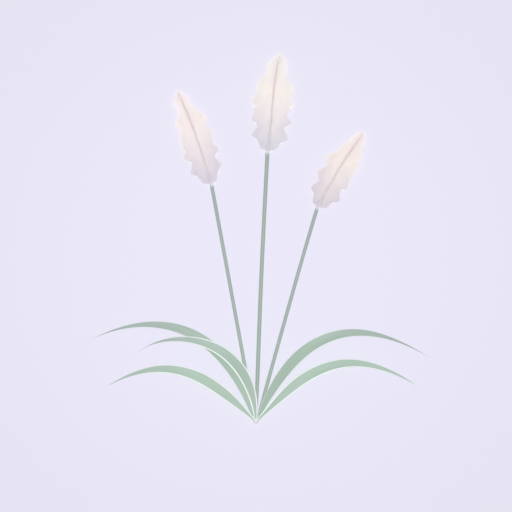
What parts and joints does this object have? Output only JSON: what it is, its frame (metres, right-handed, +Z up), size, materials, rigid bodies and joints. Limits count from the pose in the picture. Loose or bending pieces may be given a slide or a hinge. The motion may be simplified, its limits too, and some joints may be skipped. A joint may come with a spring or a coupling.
{
  "type": "silver grass",
  "caption": "Cut tuft of silver grass lying flat: feathery cream plumes on slender green stems, with long arching leaves that spread from one sheathed base.",
  "frame": {"origin": "On the surface that the tuft lies on, under the middle of its bounding box", "axes": "+Y runs from the cut base towards the tip of the middle plume, +X to the right seen from above, +Z up off the surface"},
  "size_m": [0.5376, 0.5933, 0.0561],
  "materials": {
    "sheath": "matte",
    "culm": "satin",
    "back_leaf": "satin",
    "inner_leaf": "satin",
    "front_leaf": "satin",
    "rachis": "matte",
    "plume": "matte"
  },
  "bodies": {
    "root": {"crown": "sheath", "culm_left": "culm", "culm_middle": "culm", "culm_right": "culm", "leaf_upper_left": "back_leaf", "leaf_inner_left": "inner_leaf", "leaf_low_left": "front_leaf", "leaf_upper_right": "back_leaf", "leaf_low_right": "front_leaf", "rachis_left": "rachis", "rachis_middle": "rachis", "rachis_right": "rachis", "plume_left": "plume", "plume_middle": "plume", "plume_right": "plume"}
  },
  "joints": []
}
